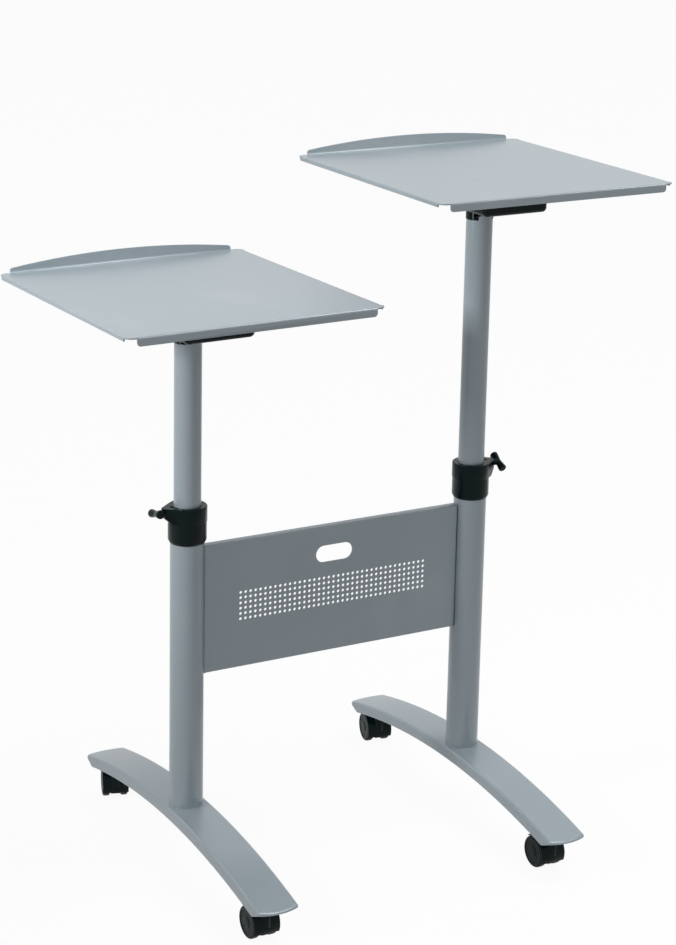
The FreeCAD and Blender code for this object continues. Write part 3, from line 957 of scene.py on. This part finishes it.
@dataclass
class TiltHead(SidePart):
    """Bracket, lug and pivot that let a platform tilt, with black caps on the fork's cheeks as
    painted shade.
    """

    edge: float = 0.0005
    tube_radius: float = 0.020
    wall: float = 0.002
    rim_drop: float = 0.0095
    cheek_half: float = 0.0085
    # The cap sizes below are for thin black caps that paint shade over the fork's cheeks.
    cap_gap: float = 0.0001
    shade_cap_thickness: float = 0.0009
    cap_edge: float = 0.0003
    tab_half_angle: float = 33.0
    tab_rise: float = 0.0072
    tab_corner: float = 0.003
    pin_radius: float = 0.004
    pin_sides: int = 48
    sleeve_radius: float = 0.0065
    lug_half: float = 0.0052
    rows: int = 14
    columns: int = 12

    def build(self) -> dict[str, bpy.types.Object]:
        """Make the pivot pin, the black cheek caps that paint shade over the fork, and the fork's
        end tabs.

        Returns:
            The pieces by what they are.
        """
        joint = joint_named(self.named("tilt"))
        place = axis_frame(Vector(joint["pos_m"]), Vector(joint["axis"]), UP)
        pin = bmesh.new()
        add_turned(pin, self._pin_profile(), place, self.pin_sides)
        # Painted shade: black caps over the fork's cheeks make them read as the dark gap under the
        # bracket.
        shade_caps = bmesh.new()
        tabs = bmesh.new()
        radius = self.tube_radius
        shade_cap_base = radius + self.cap_gap
        shade_cap_face = shade_cap_base + self.shade_cap_thickness
        for half_turn in (0, 1):
            turned = place @ Matrix.Rotation(math.pi * half_turn, 4, "Z")
            self._add_pad(shade_caps, turned, shade_cap_base, shade_cap_face, self._shade_cap_outline())
            ahead = turned @ Matrix.Rotation(math.pi / 2, 4, "Z")
            self._add_pad(tabs, ahead, radius - self.wall, radius, self._tab_outline())
        pieces = {}
        for word, builder in (("pivot_pin", pin), ("cheek_caps", shade_caps), ("fork_tabs", tabs)):
            bmesh.ops.recalc_face_normals(builder, faces=builder.faces)
            pieces[word] = piece_from(self.named(word), builder)
        return pieces

    def _pin_profile(self) -> list[Pair]:
        """Half sections of the pin, with the sleeves that centre the lug.

        Returns:
            Distances along the pin with radii.
        """
        bore = self.tube_radius - self.wall
        sleeve_end = math.sqrt(bore ** 2 - self.sleeve_radius ** 2) - self.cap_gap
        half = [(self.lug_half, self.pin_radius), (self.lug_half, self.sleeve_radius)]
        half += [(sleeve_end, self.sleeve_radius), (sleeve_end, self.pin_radius)]
        half += [(self.tube_radius, self.pin_radius), (self.tube_radius, 0)]
        return [(-along, radius) for along, radius in half[::-1]] + half

    def _shade_cap_outline(self) -> list[Pair]:
        """Heights and half widths of a cheek's round-topped face, which the painted-shade cap
        covers.

        Returns:
            Heights above the pivot with half widths.
        """
        outline = [(-self.rim_drop, self.cheek_half), (-self.rim_drop / 2, self.cheek_half)]
        for step in range(self.rows):
            rise = math.radians(90 * step / self.rows)
            outline.append((self.cheek_half * math.sin(rise), self.cheek_half * math.cos(rise)))
        return outline

    def _tab_outline(self) -> list[Pair]:
        """Heights and half widths of a tab with rounded top corners.

        Returns:
            Heights above the pivot with half widths.
        """
        half = self.tube_radius * math.sin(math.radians(self.tab_half_angle))
        corner_z = self.tab_rise - self.rim_drop - self.tab_corner
        outline = [(-self.rim_drop, half)]
        steps = self.rows // 2
        for step in range(steps + 1):
            turn = math.radians(90 * step / steps)
            width = half - self.tab_corner + self.tab_corner * math.cos(turn)
            outline.append((corner_z + self.tab_corner * math.sin(turn), width))
        return outline

    def _add_pad(
        self,
        builder: bmesh.types.BMesh,
        place: Matrix,
        inner: float,
        outer: float,
        outline: Sequence[Pair],
    ) -> None:
        """Add a closed pad that is curved round the tube.

        Args:
            builder: Mesh to add to.
            place: Frame whose X points out through the pad.
            inner: Radius of its inner face.
            outer: Radius of its outer face.
            outline: Heights with half widths, from the bottom to the top.
        """
        sheets = []
        for radius in (inner, outer):
            sheet = []
            for height, half in outline:
                shares = [2 * step / self.columns - 1 for step in range(self.columns + 1)]
                offsets = [half * share for share in shares]
                spots = [Vector((math.sqrt(radius ** 2 - y ** 2), y, height)) for y in offsets]
                sheet.append([builder.verts.new(place @ spot) for spot in spots])
            sheets.append(sheet)
        for sheet in sheets:
            for low, high in zip(sheet, sheet[1:]):
                for a, b, c, d in zip(low, low[1:], high[1:], high):
                    builder.faces.new((a, b, c, d))
        borders = [self._border(sheet) for sheet in sheets]
        for i, start in enumerate(borders[0]):
            after = (i + 1) % len(borders[0])
            builder.faces.new((start, borders[0][after], borders[1][after], borders[1][i]))

    @staticmethod
    def _border(sheet: list[list[bmesh.types.BMVert]]) -> list[bmesh.types.BMVert]:
        """Put the points round the edge of a grid in order.

        Args:
            sheet: Rows of the grid.

        Returns:
            The points of its edge.
        """
        right = [row[-1] for row in sheet[1:-1]]
        left = [row[0] for row in sheet[1:-1]]
        return sheet[0] + right + sheet[-1][::-1] + left[::-1]

    def dress(self, pieces: Mapping[str, bpy.types.Object]) -> None:
        """Dress the bracket, lug and pivot.

        Args:
            pieces: Pieces by what they are.
        """
        mast = self.named("mast")
        self.finishes.dress_node(self.named("tilt_bracket"), Slot.MOULDING, self.edge)
        self.finishes.dress_node(self.named("tilt_lug"), Slot.PAINT, self.edge)
        soften(pieces["cheek_caps"], self.cap_edge)
        soften(pieces["fork_tabs"], self.cap_edge)
        bolt = self.named("tilt_bolt")
        self.finishes.dress_piece(pieces["pivot_pin"], mast, Slot.BLACK_STEEL, [bolt])
        # Painted shade: the black caps darken the fork's cheeks like the shaded gap under the
        # bracket.
        self.finishes.dress_piece(pieces["cheek_caps"], mast, Slot.MOULDING)
        self.finishes.dress_piece(pieces["fork_tabs"], mast, Slot.PAINT)


@dataclass
class Platform(SidePart):
    """Folded-sheet platform."""

    edge: float = 0.0004

    def dress(self) -> None:
        """Paint the sheet and soften its cut edges."""
        self.finishes.dress_node(self.named("platform"), Slot.PAINT, self.edge)


@dataclass
class Caster(SidePart):
    """Twin-wheel caster: hood, axle, socket and two moulded wheels."""

    end: End
    hood_edge: float = 0.0007
    tread_radius: float = 0.0032
    tread_steps: int = 6
    web_half: float = 0.0083
    bore_radius: float = 0.00305
    bore_depth: float = 0.0093
    dish_radius: float = 0.0185
    dish_depth: float = 0.0006
    lip_flare: float = 0.4
    lip_drop: float = 0.15
    cap_radius: float = 0.0085
    cap_drop: float = 0.3
    cap_flat: float = 0.86
    wheel_steps: int = 80

    def named(self, word: str) -> str:
        """Full name of one of this caster's nodes, bodies, joints or pieces."""
        return self.side.label + "_" + self.end.label + "_caster_" + word

    def build(self) -> dict[str, bpy.types.Object]:
        """Make both wheels.

        Returns:
            The wheels by the names of their nodes.
        """
        wheels = {}
        for hand in Side:
            node = self.named(hand.label + "_wheel")
            joint = joint_named(self.named(hand.label + "_roll"))
            axle = Vector(joint["pos_m"])
            axis = Vector(joint["axis"]) * hand.value
            radius = axle.z
            width = self._width(node, axle, axis)
            place = axis_frame(axle + axis * self.web_half, axis, UP)
            builder = bmesh.new()
            add_turned(builder, self._profile(radius, width), place, self.wheel_steps)
            bmesh.ops.recalc_face_normals(builder, faces=builder.faces)
            wheels[node] = piece_from(self.named(hand.label + "_turned_wheel"), builder)
        return wheels

    def _width(self, node: str, axle: Vector, axis: Vector) -> float:
        """Width of a packed wheel along its axle.

        Args:
            node: Name of the wheel's node.
            axle: Middle of the axle.
            axis: Direction from the hood to the wheel.

        Returns:
            The width.
        """
        vertices = frame["nodes"][node].data.vertices
        reach = [(vertex.co - axle).dot(axis) for vertex in vertices]
        return max(reach) - self.web_half

    def _profile(self, radius: float, width: float) -> list[Pair]:
        """Section of a wheel from its inner face to its cap.

        Args:
            radius: Radius of the wheel.
            width: Width of the wheel.

        Returns:
            Distances from the inner face with radii.
        """
        tread = self.tread_radius
        rim = radius - tread
        depth, dish, cap = self.dish_depth, self.dish_radius, self.cap_radius
        floor = width - depth
        points = [(self.bore_depth, 0), (self.bore_depth, self.bore_radius)]
        points += [(0, self.bore_radius), (0, rim)]
        points += arc_points((tread, rim), tread, 180, 90, self.tread_steps)[1:]
        points += arc_points((width - tread, rim), tread, 90, 0, self.tread_steps)
        points += [(width, dish + depth * self.lip_flare), (width - depth * self.lip_drop, dish)]
        points += [(floor, dish - depth), (floor, cap + depth)]
        points += [(width - depth * self.cap_drop, cap), (width, cap * self.cap_flat), (width, 0)]
        return points

    def dress(self, wheels: Mapping[str, bpy.types.Object]) -> None:
        """Dress the whole caster.

        Args:
            wheels: Wheels by the names of their nodes.
        """
        self.finishes.dress_node(self.named("hood"), Slot.MOULDING, self.hood_edge)
        self.finishes.dress_node(self.named("axle"), Slot.ZINC)
        self.finishes.dress_node(self.named("socket"), Slot.ZINC)
        for node, wheel in wheels.items():
            self.finishes.dress_piece(wheel, node, Slot.TREAD, [node])


@dataclass(frozen=True)
class Softbox:
    """A rectangular lamp with a soft edge to its light."""

    name: str
    place: Triple
    aim: Triple
    width: float
    depth: float
    watts: float
    spread_degrees: float = 180.0

    def hang(self) -> None:
        """Hang the lamp where it is told, out of the camera's sight."""
        data = bpy.data.lights.new(self.name, "AREA")
        data.shape = "RECTANGLE"
        data.size = self.width
        data.size_y = self.depth
        data.energy = self.watts
        data.spread = math.radians(self.spread_degrees)
        lamp = bpy.data.objects.new(self.name, data)
        bpy.context.scene.collection.objects.link(lamp)
        way = Vector(self.aim) - Vector(self.place)
        lamp.location = self.place
        lamp.rotation_euler = way.to_track_quat("-Z", "Y").to_euler()
        lamp.visible_camera = False
        LOG.info("hung %s", self.name)


@dataclass
class Studio:
    """Pale floor, soft light and the camera at the photograph's angle."""

    floor_size: float = 60.0
    ambient: float = 0.37
    floor_bounce: Colour = (0.19, 0.19, 0.19, 1.0)
    floor_paint: Colour = (0.96, 0.96, 0.96, 1.0)
    floor_white: float = 0.94
    camera_place: Triple = (-1.67709, -2.94815, 1.66120)
    camera_azimuth: float = -28.7240
    camera_elevation: float = 14.0062
    camera_roll: float = 0.9352
    focal_px: float = 2386.83
    axis_px: Pair = (300.20, 321.30)
    image_px: tuple[int, int] = (676, 945)
    sensor_mm: float = 36.0
    lamps: tuple[Softbox, ...] = (
        Softbox(
            "overhead_softbox", place=(1.5, -0.9, 8.0), aim=(0.0, 0.0, 0.5),
            width=3.2, depth=3.2, watts=150.0,
        ),
        Softbox(
            "strip_softbox", place=(1.75, -1.1, 4.35), aim=(1.75, -1.1, 0.0),
            width=2.0, depth=0.5, watts=36.0,
        ),
        Softbox(
            "left_softbox", place=(-2.6, 0.0, 1.75), aim=(-0.24, 0.0, 0.8),
            width=0.5, depth=0.5, watts=3.1, spread_degrees=45.0,
        ),
    )

    def build(self) -> None:
        """Make the floor, the surrounding light, the lamps and the camera."""
        self._floor()
        self._surroundings()
        for softbox in self.lamps:
            softbox.hang()
        self._camera()
        bpy.context.scene.view_settings.view_transform = "Standard"

    def _seen(self, recipe: Recipe) -> Wire:
        """Tell rays that show the background itself from rays that only carry light.

        Args:
            recipe: Recipe of the floor or the room.

        Returns:
            1 for rays that show it, 0 for the others.
        """
        names = ("Is Camera Ray", "Is Glossy Ray", "Is Transmission Ray")
        camera, glossy, through = (recipe.add("ShaderNodeLightPath", output=name) for name in names)
        return (camera + glossy + through).at_most(1.0)

    def _floor(self) -> None:
        """Lay a pale floor that keeps the cart's shadow."""
        builder = bmesh.new()
        bmesh.ops.create_grid(builder, x_segments=1, y_segments=1, size=self.floor_size / 2)
        floor = piece_from("pale_floor", builder)
        material, recipe = new_recipe("pale_floor")
        seen = self._seen(recipe)
        bounce = recipe.add("ShaderNodeBsdfDiffuse", {}, {"Color": self.floor_bounce})
        bright = recipe.add("ShaderNodeEmission", {}, {"Color": WHITE, "Strength": 1.0})
        lit = recipe.add("ShaderNodeBsdfDiffuse", {}, {"Color": self.floor_paint})
        shown = recipe.add("ShaderNodeMixShader", {}, {0: self.floor_white, 1: lit, 2: bright})
        surface = recipe.add("ShaderNodeMixShader", {}, {0: seen, 1: bounce, 2: shown})
        recipe.close("ShaderNodeOutputMaterial", surface)
        floor.data.materials.append(material)
        LOG.info("laid the floor")

    def _surroundings(self) -> None:
        """Light the room evenly, and show it white."""
        world = bpy.data.worlds.new("white_room")
        world.use_nodes = True
        bpy.context.scene.world = world
        recipe = Recipe(world.node_tree)
        horizon = self.floor_white + (1.0 - self.floor_white) * self.ambient
        strength = self.ambient + self._seen(recipe) * (horizon - self.ambient)
        room = recipe.add("ShaderNodeBackground", {}, {"Color": WHITE, "Strength": strength})
        recipe.close("ShaderNodeOutputWorld", room)

    def _camera(self) -> None:
        """Set the camera where the photograph was taken from."""
        turn = math.radians(self.camera_azimuth)
        lift = math.radians(self.camera_elevation)
        roll = math.radians(self.camera_roll)
        level = Vector((math.cos(turn), math.sin(turn), 0))
        forward = Vector((-math.sin(turn), math.cos(turn), 0))
        ahead = forward * math.cos(lift) - UP * math.sin(lift)
        above = level.cross(ahead)
        right = level * math.cos(roll) + above * math.sin(roll)
        top = above * math.cos(roll) - level * math.sin(roll)
        long_px = max(self.image_px)
        data = bpy.data.cameras.new("photo_camera")
        data.sensor_width = self.sensor_mm
        data.lens = self.focal_px / long_px * self.sensor_mm
        data.shift_x = (self.image_px[0] / 2 - self.axis_px[0]) / long_px
        data.shift_y = (self.axis_px[1] - self.image_px[1] / 2) / long_px
        camera = bpy.data.objects.new("photo_camera", data)
        bpy.context.scene.collection.objects.link(camera)
        facing = Matrix((right, top, -ahead)).transposed().to_4x4()
        camera.matrix_world = Matrix.Translation(self.camera_place) @ facing
        bpy.context.scene.camera = camera


def main() -> None:
    """Build and dress the cart, then set it in the studio."""
    logging.basicConfig(level=logging.INFO, format="%(name)s: %(message)s")
    finishes = FinishShelf()
    panel = ModestyPanel(finishes)
    panel.dress(panel.build())
    for side in Side:
        foot = Foot(finishes, side)
        foot.dress(foot.build())
        Column(finishes, side).dress()
        clamp = Clamp(finishes, side, BAR_ANGLES[side])
        clamp.dress(clamp.build())
        tilt_head = TiltHead(finishes, side)
        tilt_head.dress(tilt_head.build())
        Platform(finishes, side).dress()
        for end in End:
            caster = Caster(finishes, side, end)
            caster.dress(caster.build())
    Studio().build()


if __name__ == "__main__":
    main()
